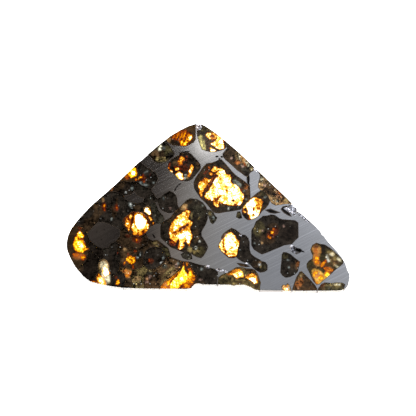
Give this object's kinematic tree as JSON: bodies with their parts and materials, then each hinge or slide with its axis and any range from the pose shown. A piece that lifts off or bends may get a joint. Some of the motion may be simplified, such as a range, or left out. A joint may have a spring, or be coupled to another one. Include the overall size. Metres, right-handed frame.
{
  "type": "pallasite meteorite slice",
  "caption": "Flat polished triangular slice of a stony-iron meteorite: an iron-nickel network that holds glowing olivine crystals, cut through to both faces.",
  "frame": {"origin": "middle of the bounding box at the underside, where the slice rests", "axes": "+X towards the pointed right end, +Y towards the apex, +Z out of the show face"},
  "size_m": [0.0706, 0.0432, 0.003],
  "materials": {
    "iron_nickel": "polished iron-nickel with fine grinding scratches",
    "amber_olivine": "clear honey to orange olivine, polished flush",
    "green_olivine": "cloudy olive-brown olivine, polished flush",
    "smoky_olivine": "dark smoky olivine with red-brown hearts, polished flush",
    "troilite": "dull black iron sulphide"
  },
  "bodies": {
    "root": {"iron_nickel_matrix": "iron_nickel", "iron_nickel_island": "iron_nickel", "iron_nickel_north_sliver": "iron_nickel", "iron_nickel_vein": "iron_nickel", "olivine_apex_left": "amber_olivine", "olivine_apex_right": "amber_olivine", "olivine_great": "amber_olivine", "olivine_capsule": "amber_olivine", "olivine_round": "amber_olivine", "olivine_edge_ember": "amber_olivine", "olivine_sunburst": "amber_olivine", "olivine_sunburst_spur": "amber_olivine", "olivine_west_flame": "amber_olivine", "olivine_pearl_flame": "amber_olivine", "olivine_ember_foot": "amber_olivine", "olivine_twin": "amber_olivine", "olivine_lantern": "amber_olivine", "olivine_honey_heart": "amber_olivine", "olivine_cream_edge": "amber_olivine", "olivine_foot": "amber_olivine", "olivine_shoulder": "green_olivine", "olivine_brown_flank": "green_olivine", "olivine_flank_upper": "green_olivine", "olivine_flank_lower": "green_olivine", "olivine_sienna": "green_olivine", "olivine_fern": "green_olivine", "olivine_green_sliver": "green_olivine", "olivine_fan": "green_olivine", "olivine_green_chip": "green_olivine", "olivine_small_chip": "green_olivine", "olivine_moss_strip": "green_olivine", "olivine_moor": "smoky_olivine", "olivine_charcoal": "smoky_olivine", "olivine_soot_wedge": "smoky_olivine", "olivine_cinder": "smoky_olivine", "olivine_grey_hexagon": "smoky_olivine", "olivine_tawny": "smoky_olivine", "olivine_slate_wedge": "smoky_olivine", "olivine_bark": "smoky_olivine", "olivine_garnet": "smoky_olivine", "olivine_copper": "smoky_olivine", "olivine_nightfall": "smoky_olivine", "olivine_ash_west": "smoky_olivine", "olivine_ash_east": "smoky_olivine", "olivine_clove": "smoky_olivine", "olivine_freckled": "smoky_olivine", "olivine_mottle": "smoky_olivine", "olivine_rosewood": "smoky_olivine", "olivine_dusk": "smoky_olivine", "olivine_raven": "smoky_olivine", "olivine_char_foot": "smoky_olivine", "olivine_south_shard": "smoky_olivine", "olivine_smoke_neck": "smoky_olivine", "olivine_umber_splinter": "smoky_olivine", "olivine_great_smoky": "smoky_olivine", "olivine_brown_kite": "smoky_olivine", "olivine_rust_triangle": "smoky_olivine", "troilite_black_splinter": "troilite", "troilite_edge_splinter": "troilite"}
  },
  "joints": []
}
